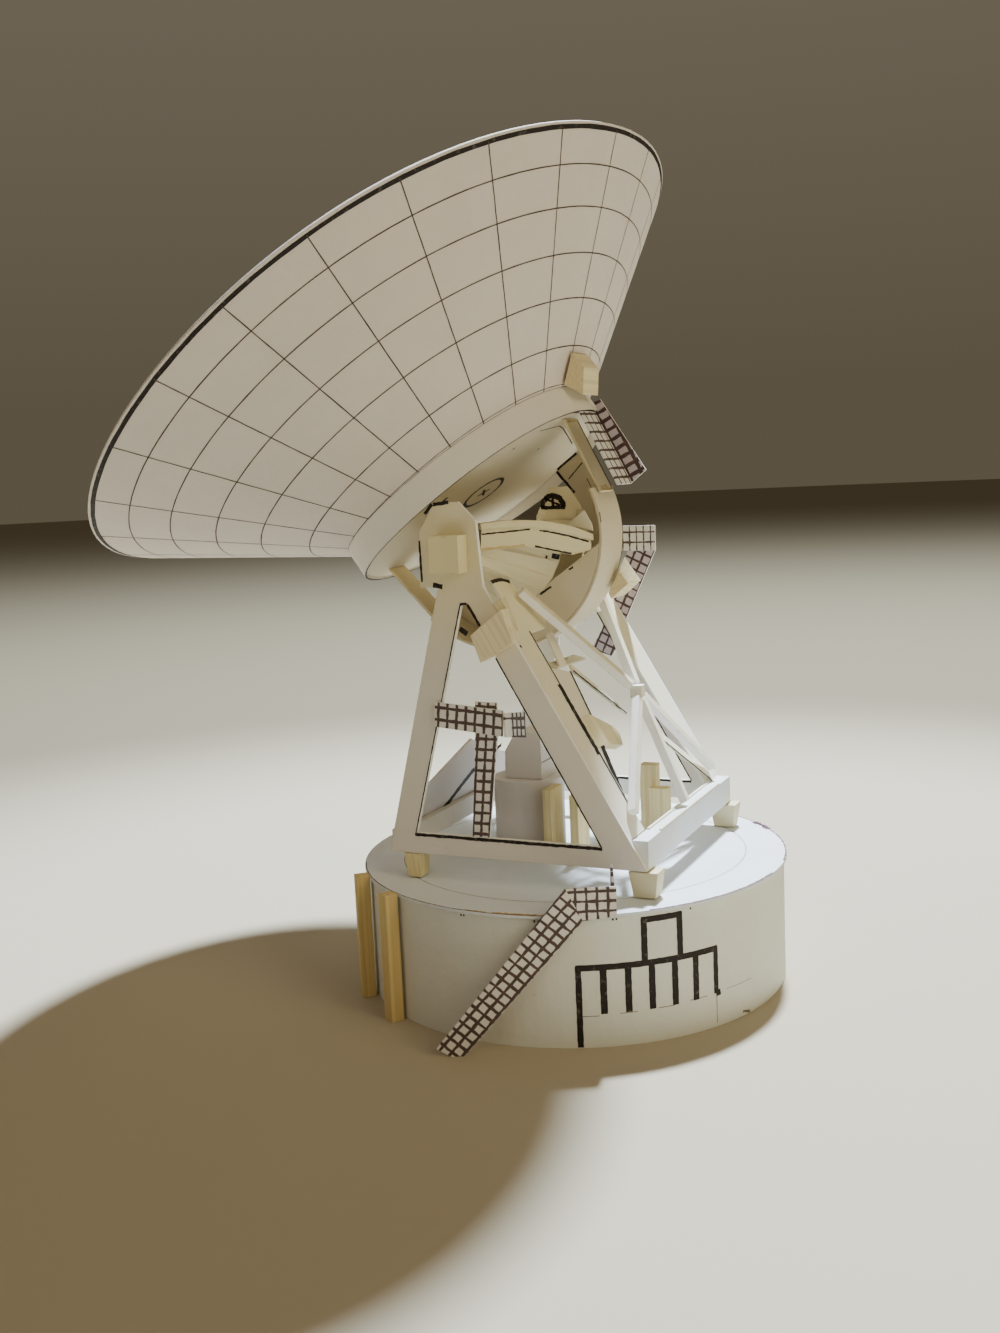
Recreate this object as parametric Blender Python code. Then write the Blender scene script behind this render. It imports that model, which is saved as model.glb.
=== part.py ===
"""Card scale model of a large radio telescope dish on a round pedestal.

Units are metres with +Z up. The origin is the centre of the pedestal's underside.
The elevation axis runs along X; the dish looks towards -Y and upwards.
Dimensions below are in millimetres and scaled by MM when a mesh is made.
"""

import math

import bmesh
import bpy
from mathutils import Vector
from mathutils.geometry import tessellate_polygon

MM = 0.001
GAP = 0.05
CARD = 0.5
CARD_THIN = 0.35
CARD_THICK = 1.0
TAU = 2.0 * math.pi

AXIS_X = Vector((1.0, 0.0, 0.0))
AXIS_Y = Vector((0.0, 1.0, 0.0))
AXIS_Z = Vector((0.0, 0.0, 1.0))
GROUND_PIVOT = Vector((0.0, 0.0, 0.0))

# Pedestal
DRUM_RADIUS = 42.6
DRUM_HEIGHT = 24.3
ROOF_RADIUS = 43.2
ROOF_TOP = 24.9
ROUND_SEGMENTS = 120
POST_SIDE = 2.7
POST_HEIGHT = 25.0
POST_ANGLES_DEG = {"rear": -49.5, "side": -30.6}
STAIR_ANGLE_DEG = 25.0
STAIR_OUTLINE = (
    (-28.0, 1.6), (-25.3, 0.0), (-23.0, 0.0), (-0.9, 24.1),
    (5.1, 24.7), (5.2, 30.1), (-3.8, 30.1),
)
LANDING_RAIL_OFFSET = 4.4
# The landing's end rail rises as it runs inward: (distance inward, height)
LANDING_RAIL = ((0.0, 24.95), (3.0, 24.95), (3.0, 33.2), (2.4, 33.4), (0.0, 30.1))

# Alidade, the turning frame: side frames as (y, z) outlines
FRAME_X = 28.2
FRAME_FOOT = ((-27.5, 30.2), (25.7, 30.3), (-4.6, 82.2), (-5.0, 86.9), (-5.5, 94.3))
FRAME_REAR = ((-17.2, 92.7), (-17.7, 82.2), (-13.9, 82.2))
FRAME_HEADS = {"near": ((-9.0, 98.0), (-14.0, 97.8)), "far": ((-9.0, 99.1), (-14.0, 98.9))}
FRAME_OPENING = ((-21.4, 34.3), (16.9, 34.3), (-8.0, 78.9), (-9.3, 78.7))
FRONT_SLOPE = 0.584
FRONT_FOOT = (25.7, 30.3)
REAR_SLOPE = 0.262
REAR_FOOT = (-27.4, 30.3)
BEAM_HEIGHT = 5.4
REAR_BEAM_HEIGHT = 4.0
BEAM_DEPTH = 3.0
LEG_OUTLINE = (
    (27.15, 35.75), (27.15, 78.2), (23.5, 79.0), (23.5, 83.0), (19.2, 83.1), (15.6, 82.2),
    (14.6, 79.6), (10.4, 74.0), (12.4, 72.7), (19.65, 72.7), (19.65, 35.75),
)
REAR_PANEL_OUTLINE = ((26.9, 34.55), (26.9, 38.6), (19.6, 40.5), (0.0, 47.4),
                      (-19.6, 40.5), (-26.9, 38.6), (-26.9, 34.55))
FOOT_BOTTOM = 25.2
FOOT_TOP = 30.1
FOOT_HALF_X = 2.2
FOOT_TAPER = 0.75
FOOT_ENDS = {"front": (24.9, 2.8), "rear": (-22.6, 1.8)}
HUB = Vector((0.0, 15.0, 58.6))
HUB_SIDE = 2.4
BRACE_WIDTH = 1.6
# Each brace ends at (x, height) and stands this far in front of the sloping face.
BRACE_ENDS = {
    "near_upper": (17.6, 80.4, 1.9),
    "far_upper": (-19.0, 79.5, 2.2),
    "near_lower": (23.5, 40.0, 1.7),
    "far_lower": (-23.5, 38.5, 1.9),
}
CENTRE_BRACE_FOOT = Vector((0.0, 24.2, 36.6))

# Fittings on the alidade, as (y, z) outlines unless said otherwise
BEARING_BOX = ((-13.5, 85.0), (-7.4, 92.0))
BEARING_BOX_DEPTH = 3.9
LADDER = ((-9.0, 34.6), (-5.4, 34.6), (-2.8, 54.0), (-2.6, 60.6), (-7.1, 60.7), (-7.4, 54.2))
WALKWAY = ((-15.7, 55.7), (-1.5, 54.3), (-1.25, 59.2), (-15.4, 60.5))
# The walkway's folded end runs inward: (x, z)
WALKWAY_RETURN = ((29.0, 54.2), (29.0, 58.8), (19.9, 57.4), (19.9, 52.4))
WALKWAY_RETURN_Y = -1.2
FAR_PLATFORM = ((-4.4, 84.6), (10.0, 84.6), (10.0, 90.0), (-4.4, 90.0))
FAR_STAIR = ((-5.6, 62.8), (-0.9, 61.3), (0.0, 62.5), (3.1, 70.3), (9.9, 84.5),
             (3.6, 84.5), (-2.0, 70.0), (-2.9, 67.4))
LEG_BLOCK = ((-5.9, 73.6), (-4.1, 68.6), (2.5, 72.4), (0.4, 78.4))
LEG_BLOCK_DEPTH = 3.4
# The block's part that wraps round the corner, in front of the sloping face: (x, height)
LEG_BLOCK_RETURN = ((25.6, 79.3), (28.2, 79.1), (28.2, 73.4), (27.6, 73.4))
LEG_BLOCK_RETURN_DEPTH = 1.8
SLOPE_CLEARANCE = 0.1
EQUIPMENT_DRUM = (0.0, -9.6)
EQUIPMENT_DRUM_RADIUS = 7.3
EQUIPMENT_DRUM_TOP = 40.2
HOOD = ((-13.1, 40.25), (-4.9, 40.25), (-4.9, 49.9), (-10.5, 49.9), (-12.9, 46.0))
HOOD_HALF_WIDTH = 4.0
# Balsa posts standing on the roof: low corner (x, y), high corner (x, y), top
ROOF_POSTS = {
    "drum_post_near": ((2.8, -2.65), (9.2, -0.95), 39.4),
    "drum_post_side": ((3.0, 3.0), (9.0, 4.8), 38.6),
    "equipment_post_far": ((-20.0, 8.8), (-17.0, 12.3), 39.6),
    "equipment_post_short": ((-16.9, 11.7), (-14.3, 15.7), 35.3),
}
LEG_WEDGE = ((14.2, 50.6), (19.2, 50.6), (19.2, 56.2), (13.6, 56.2), (4.9, 51.6), (7.0, 49.0))
LEG_WEDGE_DEPTH = 2.0

# Elevation assembly, in its own u (along X), v (up the dish) and n (dish axis) frame
AXIS_CENTRE = Vector((0.0, -12.0, 90.0))
DISH_ELEVATION = 0.955
SHELL_THICKNESS = 0.6
CONE_CENTRE_V = 0.5
CONE_BACK_RADIUS = 28.44
CONE_BACK_AXIAL = 13.96
RIM_RADIUS = 68.19
RIM_AXIAL = 43.94
RIM_MARGIN = 0.016
# Out-of-round terms of both edges: (waves round the edge, cosine part, sine part)
RIM_RADIUS_WAVES = ((2, 1.12, -1.01), (3, -0.44, 0.27))
RIM_AXIAL_WAVES = ((2, 0.43, 0.36), (3, -0.09, 0.42))
BACK_RADIUS_WAVES = ((1, 0.0, 0.21), (2, 0.0, 0.07))
BACK_AXIAL_WAVES = ((1, 0.0, -0.53), (2, -0.75, 0.30))
SHELL_RINGS = 6
COLLAR_RADIUS = 29.2
COLLAR_DEPTH = 5.45
COLLAR_CONE_GAP = 0.12
FLOOR_AXIAL = 12.5
BACK_PLATE_AXIAL = 10.1
WHEEL_RADIUS = 22.8
WHEEL_HALF_WIDTH = 6.0
WHEEL_SHOULDER = -4.5
WHEEL_BAR = ((22.3, -5.8), (22.95, -5.8), (25.3, 9.95), (24.7, 9.95))
WHEEL_BAR_HALF_WIDTH = 3.2
WEB_INNER_RADIUS = 15.1
FAR_WEB_TOP = 5.4
FAR_WEB_EDGE_V = 14.8
FAR_WEB_EDGE_LOW = -3.0
NEAR_WEB_CHORD = -14.0
TRUNNION_SMALL = 5.0
TRUNNION_LARGE = 14.6
TRUNNION_OUTER_X = 26.6
# Arched arm from the bearing to the wheel: distance along it, flange top, flange
# underside and lower edge as heights
ARM_START = Vector((26.1, -5.9, 0.0))
ARM_END = Vector((6.6, 9.4, 0.0))
ARM_STATIONS = (
    (0.0, 93.8, 92.7, 88.8), (4.6, 94.1, 92.8, 88.9), (9.3, 93.95, 92.7, 89.0),
    (13.0, 93.6, 92.2, 88.3), (17.3, 92.7, 91.2, 87.2), (19.6, 92.1, 90.6, 86.7),
    (23.9, 90.4, 89.2, 87.4),
)
ARM_FLANGE_HALF = 1.3
ARM_WEB_HALF = 0.45
PLATFORM_U = (-2.45, 5.5)
PLATFORM_TOP = (29.05, 8.5)
PLATFORM_FOOT = (26.8, -7.3)
PLATFORM_RAIL = ((29.1, 8.45), (29.95, 8.55), (30.3, 10.1), (31.7, 9.8), (30.9, -7.0),
                 (26.9, -7.2))
CONE_WEDGE = ((34.9, 18.2), (30.0, 14.4), (31.9, 10.5), (35.2, 14.5))
CONE_WEDGE_U = (-2.0, 6.0)
# The wheel's wedge as (v, n) outlines at two places along u
WHEEL_WEDGE = {
    -3.0: ((14.2, -19.5), (14.2, -22.6), (9.4, -22.9), (9.7, -21.6)),
    -6.4: ((15.7, -17.4), (15.6, -23.2), (11.0, -23.6), (11.0, -20.6)),
}

N_DIR = Vector((0.0, -math.cos(DISH_ELEVATION), math.sin(DISH_ELEVATION)))
V_DIR = N_DIR.cross(AXIS_X)

CARD_WHITE = (0.86, 0.84, 0.80)
CARD_SHADE = (0.74, 0.71, 0.70)
PRINT_BROWN = (0.42, 0.36, 0.36)
BALSA = (0.80, 0.66, 0.42)
SURFACE_ROUGHNESS = 0.75


def make_material(name, colour, roughness):
    """One plain surface of the given base colour."""
    material = bpy.data.materials.new(name)
    material.use_nodes = True
    shader = material.node_tree.nodes["Principled BSDF"]
    shader.inputs["Base Color"].default_value = (*colour, 1.0)
    shader.inputs["Roughness"].default_value = roughness
    return material


def clear_scene():
    for obj in list(bpy.data.objects):
        bpy.data.objects.remove(obj, do_unlink=True)


def finish(name, bm, colour, pivot=GROUND_PIVOT, smooth=False):
    """Turn a bmesh in millimetres into a named object whose origin is the pivot."""
    bmesh.ops.recalc_face_normals(bm, faces=bm.faces)
    for vert in bm.verts:
        vert.co = (vert.co - pivot) * MM
    mesh = bpy.data.meshes.new(name)
    bm.to_mesh(mesh)
    bm.free()
    for polygon in mesh.polygons:
        polygon.use_smooth = smooth
    obj = bpy.data.objects.new(name, mesh)
    obj.location = pivot * MM
    mesh.materials.append(make_material(name + "_card", colour, SURFACE_ROUGHNESS))
    bpy.context.scene.collection.objects.link(obj)
    return obj


def plate(name, outline, frame, thickness, colour, holes=(), pivot=GROUND_PIVOT):
    """A flat sheet: outline in the frame's first two axes, thick along their normal."""
    origin, axis_a, axis_b = frame
    normal = axis_a.cross(axis_b).normalized()
    loops = [[Vector((a, b, 0.0)) for a, b in loop] for loop in (outline, *holes)]
    bm = bmesh.new()
    rings = []
    for depth in (0.0, thickness):
        ring = []
        for loop in loops:
            ring.append([
                bm.verts.new(origin + axis_a * p.x + axis_b * p.y + normal * depth)
                for p in loop
            ])
        rings.append(ring)
    for loop_low, loop_high in zip(*rings):
        count = len(loop_low)
        for i in range(count):
            j = (i + 1) % count
            bm.faces.new((loop_low[i], loop_low[j], loop_high[j], loop_high[i]))
    triangles = tessellate_polygon(loops)
    for ring in rings:
        flat = [vert for loop in ring for vert in loop]
        for triangle in triangles:
            bm.faces.new([flat[i] for i in triangle])
    return finish(name, bm, colour, pivot)


def side_plate(name, outline, low_x, thickness, colour, holes=()):
    """An upright sheet facing along X, from a (y, z) outline."""
    frame = (AXIS_X * low_x, AXIS_Y, AXIS_Z)
    return plate(name, outline, frame, thickness, colour, holes)


def box(name, low, high, colour, pivot=GROUND_PIVOT):
    """An upright block between two corners."""
    outline = ((low[0], low[1]), (high[0], low[1]), (high[0], high[1]), (low[0], high[1]))
    frame = (AXIS_Z * low[2], AXIS_X, AXIS_Y)
    return plate(name, outline, frame, high[2] - low[2], colour, (), pivot)


def loft(name, sections, colour, pivot=GROUND_PIVOT):
    """A solid through matching closed sections, capped at both ends."""
    bm = bmesh.new()
    rings = [[bm.verts.new(Vector(p)) for p in section] for section in sections]
    count = len(rings[0])
    for low, high in zip(rings, rings[1:]):
        for i in range(count):
            j = (i + 1) % count
            bm.faces.new((low[i], low[j], high[j], high[i]))
    for cap in (rings[0], rings[-1]):
        bmesh.ops.triangulate(bm, faces=[bm.faces.new(cap)])
    return finish(name, bm, colour, pivot)


def circle(radius, count, centre=(0.0, 0.0)):
    return [
        (centre[0] + radius * math.cos(TAU * i / count),
         centre[1] + radius * math.sin(TAU * i / count))
        for i in range(count)
    ]


def cylinder(name, centre, radius, low, high, colour, count=ROUND_SEGMENTS):
    """An upright round solid with smooth sides and flat ends."""
    bm = bmesh.new()
    rings = [
        [bm.verts.new((x, y, z)) for x, y in circle(radius, count, centre)]
        for z in (low, high)
    ]
    for i in range(count):
        j = (i + 1) % count
        bm.faces.new((rings[0][i], rings[0][j], rings[1][j], rings[1][i]))
    bm.faces.new(rings[0])
    bm.faces.new(rings[1])
    obj = finish(name, bm, colour)
    for polygon in obj.data.polygons:
        polygon.use_smooth = len(polygon.vertices) == 4
    return obj


def strut(name, start, end, width, height, colour, up=AXIS_Z, pivot=GROUND_PIVOT):
    """A straight bar of rectangular section between two points."""
    along = (end - start).normalized()
    side = along.cross(up).normalized() * (width / 2.0)
    lift = side.cross(along).normalized() * (height / 2.0)
    sections = [
        [p - side - lift, p + side - lift, p + side + lift, p - side + lift]
        for p in (start, end)
    ]
    return loft(name, sections, colour, pivot)


def around(radius, angle_deg):
    angle = math.radians(angle_deg)
    return Vector((radius * math.cos(angle), radius * math.sin(angle), 0.0))


def build_pedestal():
    cylinder("pedestal_drum", (0.0, 0.0), DRUM_RADIUS, 0.0, DRUM_HEIGHT, CARD_WHITE)
    cylinder("pedestal_roof_disc", (0.0, 0.0), ROOF_RADIUS, DRUM_HEIGHT + GAP, ROOF_TOP,
             CARD_WHITE)
    half = POST_SIDE / 2.0
    for label, angle_deg in POST_ANGLES_DEG.items():
        outward = around(1.0, angle_deg)
        frame = (outward * (ROOF_RADIUS + GAP + half), outward, AXIS_Z.cross(outward))
        outline = ((-half, -half), (half, -half), (half, half), (-half, half))
        plate("wall_post_" + label, outline, frame, POST_HEIGHT, BALSA)
    outward = around(1.0, STAIR_ANGLE_DEG)
    tangent = AXIS_Z.cross(outward)
    stair_offset = ROOF_RADIUS + GAP
    plate("pedestal_stair", STAIR_OUTLINE, (outward * stair_offset, tangent, AXIS_Z), CARD,
          PRINT_BROWN)
    rail_frame = (outward * ROOF_RADIUS + tangent * LANDING_RAIL_OFFSET, -outward, AXIS_Z)
    plate("landing_side_rail", LANDING_RAIL, rail_frame, CARD, PRINT_BROWN)


def front_y(z):
    """Depth of the sloping front face at a height."""
    return FRONT_FOOT[0] - (z - FRONT_FOOT[1]) * FRONT_SLOPE


def sloping_frame(foot, lean):
    """Frame of a leaning face: X, then up the slope, with outlines given by height."""
    rise = Vector((0.0, lean, 1.0))
    origin = Vector((0.0, foot[0] - foot[1] * lean, 0.0))
    return (origin, AXIS_X, rise)


def build_side_frames():
    for side, low_x in (("near", FRAME_X - CARD_THICK), ("far", -FRAME_X)):
        outline = FRAME_FOOT + FRAME_HEADS[side] + FRAME_REAR
        side_plate(side + "_side_frame", outline, low_x, CARD_THICK, CARD_WHITE,
                   (FRAME_OPENING,))


def build_end_faces():
    """The sloping front legs, the bottom beams and the low rear panel."""
    front_frame = sloping_frame(FRONT_FOOT, -FRONT_SLOPE)
    for side, sign in (("near", 1.0), ("far", -1.0)):
        outline = [(sign * x, z) for x, z in LEG_OUTLINE]
        plate(side + "_front_leg", outline, front_frame, CARD, CARD_WHITE)
    reach = FRAME_X - CARD_THICK - GAP
    front, low = FRONT_FOOT
    box("front_bottom_beam", (-reach, front - BEAM_DEPTH, low),
        (reach, front, low + BEAM_HEIGHT), CARD_WHITE)
    rear, low = REAR_FOOT
    box("rear_bottom_beam", (-reach, rear, low),
        (reach, rear + BEAM_DEPTH, low + REAR_BEAM_HEIGHT), CARD_WHITE)
    plate("rear_panel", REAR_PANEL_OUTLINE, sloping_frame(REAR_FOOT, REAR_SLOPE), -CARD,
          CARD_SHADE)
    wedge_origin, axis_x, rise = front_frame
    wedge_frame = (wedge_origin - AXIS_Y * (CARD + GAP + SLOPE_CLEARANCE), axis_x, rise)
    plate("leg_wedge_block", LEG_WEDGE, wedge_frame, LEG_WEDGE_DEPTH, BALSA)


def build_feet():
    for side, sign in (("near", 1.0), ("far", -1.0)):
        x_mid = sign * (FRAME_X - FOOT_HALF_X)
        for end, (y_mid, top_half) in FOOT_ENDS.items():
            sections = []
            for z, shrink in ((FOOT_BOTTOM, FOOT_TAPER), (FOOT_TOP, 1.0)):
                dy = top_half * shrink
                dx = FOOT_HALF_X * shrink
                sections.append([
                    (x_mid - dx, y_mid - dy, z), (x_mid + dx, y_mid - dy, z),
                    (x_mid + dx, y_mid + dy, z), (x_mid - dx, y_mid + dy, z),
                ])
            loft(f"{side}_{end}_foot", sections, BALSA if end == "rear" else CARD_WHITE)


def build_braces():
    half = Vector((HUB_SIDE, HUB_SIDE, HUB_SIDE)) / 2.0
    box("brace_hub", HUB - half, HUB + half, CARD_WHITE)
    ends = {
        name: Vector((x, front_y(z) + stand, z)) for name, (x, z, stand) in BRACE_ENDS.items()
    }
    ends["centre"] = CENTRE_BRACE_FOOT
    clear = HUB_SIDE * 0.875
    for name, end in ends.items():
        start = HUB + (end - HUB).normalized() * clear
        strut("brace_" + name, start, end, BRACE_WIDTH, BRACE_WIDTH, CARD_WHITE, AXIS_X)


def build_side_details():
    (low_y, low_z), (high_y, high_z) = BEARING_BOX
    inner = FRAME_X + GAP
    outer = inner + BEARING_BOX_DEPTH
    box("near_bearing_box", (inner, low_y, low_z), (outer, high_y, high_z), CARD_WHITE)
    box("far_bearing_box", (-outer, low_y, low_z), (-inner, high_y, high_z), CARD_WHITE)
    side_plate("near_ladder", LADDER, inner, CARD_THIN, PRINT_BROWN)
    walkway_x = inner + CARD_THIN + GAP
    side_plate("near_walkway", WALKWAY, walkway_x, CARD_THIN, PRINT_BROWN)
    return_frame = (AXIS_Y * WALKWAY_RETURN_Y, AXIS_X, AXIS_Z)
    plate("near_walkway_return", WALKWAY_RETURN, return_frame, -CARD_THIN, PRINT_BROWN)
    side_plate("near_leg_block", LEG_BLOCK, inner, LEG_BLOCK_DEPTH, BALSA)
    slope_origin, axis_x, rise = sloping_frame(FRONT_FOOT, -FRONT_SLOPE)
    corner_frame = (slope_origin + AXIS_Y * SLOPE_CLEARANCE, axis_x, rise)
    plate("near_leg_block_return", LEG_BLOCK_RETURN, corner_frame, -LEG_BLOCK_RETURN_DEPTH,
          BALSA)
    side_plate("far_platform_rail", FAR_PLATFORM, -inner - CARD, CARD, PRINT_BROWN)
    side_plate("far_stair", FAR_STAIR, -inner - CARD, CARD, PRINT_BROWN)


def build_roof_equipment():
    floor = ROOF_TOP + GAP
    cylinder("waveguide_drum", EQUIPMENT_DRUM, EQUIPMENT_DRUM_RADIUS, floor,
             EQUIPMENT_DRUM_TOP, CARD_SHADE, 64)
    side_plate("waveguide_hood", HOOD, -HOOD_HALF_WIDTH, 2 * HOOD_HALF_WIDTH, CARD_SHADE)
    for name, (low, high, top) in ROOF_POSTS.items():
        box(name, (*low, floor), (*high, top), BALSA)


def local(u, v, n):
    """World position of a point given in the elevation assembly's own frame."""
    return AXIS_CENTRE + AXIS_X * u + V_DIR * v + N_DIR * n


def wave(terms, angle):
    return sum(c * math.cos(k * angle) + s * math.sin(k * angle) for k, c, s in terms)


def closed_surface(name, rings, colour):
    """A ring-shaped solid from closed sections that follow each other round."""
    bm = bmesh.new()
    loops = [[bm.verts.new(p) for p in section] for section in rings]
    for section, following in zip(loops, loops[1:] + loops[:1]):
        count = len(section)
        for i in range(count):
            j = (i + 1) % count
            bm.faces.new((section[i], section[j], following[j], following[i]))
    return finish(name, bm, colour, AXIS_CENTRE, True)


def cone_point(angle, t, inset=0.0):
    """Radius and axial place on the cone, from its back edge (t 0) to its rim (t 1)."""
    slope = Vector((RIM_RADIUS - CONE_BACK_RADIUS, RIM_AXIAL - CONE_BACK_AXIAL)).normalized()
    back_radius = CONE_BACK_RADIUS + wave(BACK_RADIUS_WAVES, angle)
    back_axial = CONE_BACK_AXIAL + wave(BACK_AXIAL_WAVES, angle)
    rim_radius = RIM_RADIUS + wave(RIM_RADIUS_WAVES, angle)
    rim_axial = RIM_AXIAL + wave(RIM_AXIAL_WAVES, angle)
    radius = back_radius + (rim_radius - back_radius) * t - slope.y * inset
    axial = back_axial + (rim_axial - back_axial) * t + slope.x * inset
    return radius, axial


def ring_point(radius, angle, axial):
    """World position of a point round the cone's own centre line."""
    across = radius * math.sin(angle) + CONE_CENTRE_V
    return local(radius * math.cos(angle), across, axial)


def build_shell():
    """The cone-shaped card reflector; both its edges are slightly out of round."""
    steps = [(1.0 + RIM_MARGIN) * i / SHELL_RINGS for i in range(SHELL_RINGS + 1)]
    sections = []
    for i in range(ROUND_SEGMENTS):
        angle = TAU * i / ROUND_SEGMENTS
        outer = [cone_point(angle, t) for t in steps]
        inner = [cone_point(angle, t, SHELL_THICKNESS) for t in steps]
        sections.append([ring_point(r, angle, n) for r, n in outer + inner[::-1]])
    closed_surface("reflector_shell", sections, CARD_WHITE)


def collar_edge(angle, radius):
    """Axial place of the collar's front edge, which follows the cone."""
    back_radius, back_axial = cone_point(angle, 0.0)
    rise = (RIM_AXIAL - CONE_BACK_AXIAL) / (RIM_RADIUS - CONE_BACK_RADIUS)
    return back_axial + (radius - back_radius) * rise - COLLAR_CONE_GAP


def build_dish():
    build_shell()
    inside = COLLAR_RADIUS - CARD
    sections = []
    for i in range(ROUND_SEGMENTS):
        angle = TAU * i / ROUND_SEGMENTS
        rear = cone_point(angle, 0.0)[1] - COLLAR_DEPTH
        corners = ((COLLAR_RADIUS, rear), (COLLAR_RADIUS, collar_edge(angle, COLLAR_RADIUS)),
                   (inside, collar_edge(angle, inside)), (inside, rear))
        sections.append([ring_point(r, angle, n) for r, n in corners])
    closed_surface("collar_band", sections, CARD_WHITE)
    disc = circle(inside - GAP, 96, (0.0, CONE_CENTRE_V))
    for name, axial, colour in (("reflector_floor", FLOOR_AXIAL, CARD_WHITE),
                                ("collar_back_plate", BACK_PLATE_AXIAL, CARD_SHADE)):
        frame = (local(0.0, 0.0, axial), AXIS_X, V_DIR)
        plate(name, disc, frame, CARD, colour, (), AXIS_CENTRE)


def arc(radius, start_deg, end_deg, count):
    return [
        (radius * math.cos(math.radians(start_deg + (end_deg - start_deg) * i / count)),
         radius * math.sin(math.radians(start_deg + (end_deg - start_deg) * i / count)))
        for i in range(count + 1)
    ]


def build_wheel():
    """The D-shaped elevation wheel behind the collar, in the v-n plane."""
    inner_radius = WHEEL_RADIUS - CARD
    far_frame = (local(-WHEEL_HALF_WIDTH, 0.0, 0.0), V_DIR, N_DIR)
    start = math.degrees(math.asin(WHEEL_SHOULDER / WHEEL_RADIUS))
    end = -180.0 - start
    outline = arc(WHEEL_RADIUS, start, end, 48) + arc(inner_radius, end, start, 48)
    plate("wheel_rim", outline, far_frame, 2 * WHEEL_HALF_WIDTH, CARD_WHITE, (), AXIS_CENTRE)
    bar_frame = (local(-WHEEL_BAR_HALF_WIDTH, 0.0, 0.0), V_DIR, N_DIR)
    for label, sign in (("upper", 1.0), ("lower", -1.0)):
        outline = [(sign * v, n) for v, n in WHEEL_BAR]
        plate("wheel_bar_" + label, outline, bar_frame, 2 * WHEEL_BAR_HALF_WIDTH, CARD_WHITE,
              (), AXIS_CENTRE)

    web_radius = inner_radius - 0.06
    web_start = start - 1.0
    shoulder_v = web_radius * math.cos(math.radians(web_start))
    inner_start = math.degrees(math.asin(FAR_WEB_EDGE_LOW / WEB_INNER_RADIUS))
    outline = [(FAR_WEB_EDGE_V, FAR_WEB_TOP), (shoulder_v, FAR_WEB_TOP)]
    outline += arc(web_radius, web_start, -180.0 - web_start, 40)
    outline += [(-shoulder_v, FAR_WEB_TOP), (-FAR_WEB_EDGE_V, FAR_WEB_TOP)]
    outline += arc(WEB_INNER_RADIUS, -180.0 - inner_start, inner_start, 32)
    plate("wheel_web_far", outline, far_frame, CARD, CARD_SHADE, (), AXIS_CENTRE)

    near_frame = (local(WHEEL_HALF_WIDTH - CARD, 0.0, 0.0), V_DIR, N_DIR)
    chord = math.degrees(math.asin(NEAR_WEB_CHORD / web_radius))
    outline = arc(web_radius, chord, -180.0 - chord, 32)
    plate("wheel_web_near", outline, near_frame, CARD, CARD_SHADE, (), AXIS_CENTRE)


def build_trunnions():
    """Half-cones from each bearing to the wheel, each under an arched arm."""
    arm_dir = (ARM_END - ARM_START).normalized()
    arm_side = arm_dir.cross(AXIS_Z)
    for side, sign in (("near", 1.0), ("far", -1.0)):
        mirror = Vector((sign, 1.0, 1.0))
        sections = []
        for x, radius, start_deg, end_deg in (
            (sign * TRUNNION_OUTER_X, TRUNNION_SMALL, 20.0, -200.0),
            (sign * (WHEEL_HALF_WIDTH + GAP), TRUNNION_LARGE, -6.0, -174.0),
        ):
            sections.append([
                AXIS_CENTRE + Vector((x, a, b)) for a, b in arc(radius, start_deg, end_deg, 12)
            ])
        loft(side + "_trunnion", sections, CARD_SHADE, AXIS_CENTRE)
        sections = []
        for run, top, under, low in ARM_STATIONS:
            centre = ARM_START + arm_dir * run
            profile = (
                (-ARM_FLANGE_HALF, top), (ARM_FLANGE_HALF, top), (ARM_FLANGE_HALF, under),
                (ARM_WEB_HALF, under), (ARM_WEB_HALF, low), (-ARM_WEB_HALF, low),
                (-ARM_WEB_HALF, under), (-ARM_FLANGE_HALF, under),
            )
            sections.append([
                (centre + arm_side * across + AXIS_Z * z) * mirror for across, z in profile
            ])
        loft(side + "_wheel_arm", sections, CARD_WHITE, AXIS_CENTRE)


def build_dish_details():
    low_u, high_u = PLATFORM_U
    top = Vector(PLATFORM_TOP)
    down = Vector(PLATFORM_FOOT) - top
    run_dir = (V_DIR * down.x + N_DIR * down.y).normalized()
    floor_frame = (local(0.0, top.x, top.y), AXIS_X, run_dir)
    outline = ((low_u, 0.0), (high_u, 0.0), (high_u, down.length), (low_u, down.length))
    plate("collar_platform_floor", outline, floor_frame, CARD_THIN, PRINT_BROWN, (),
          AXIS_CENTRE)
    rail_frame = (local(low_u - GAP, 0.0, 0.0), V_DIR, N_DIR)
    plate("collar_platform_rail", PLATFORM_RAIL, rail_frame, -CARD_THIN, PRINT_BROWN, (),
          AXIS_CENTRE)
    low_u, high_u = CONE_WEDGE_U
    block_frame = (local(low_u, 0.0, 0.0), V_DIR, N_DIR)
    plate("cone_wedge_block", CONE_WEDGE, block_frame, high_u - low_u, BALSA, (), AXIS_CENTRE)
    sections = [[local(u, v, n) for v, n in outline] for u, outline in WHEEL_WEDGE.items()]
    loft("wheel_wedge_block", sections, BALSA, AXIS_CENTRE)


clear_scene()
build_pedestal()
build_side_frames()
build_end_faces()
build_feet()
build_braces()
build_side_details()
build_roof_equipment()
build_dish()
build_wheel()
build_trunnions()
build_dish_details()
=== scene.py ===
"""Looks of a card radio telescope model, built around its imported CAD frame.

Places and sizes below are in millimetres, with +Z up, and MM scales them to metres.
"""

import math
import random

import bmesh
import bpy
from mathutils import Matrix, Vector


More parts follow.
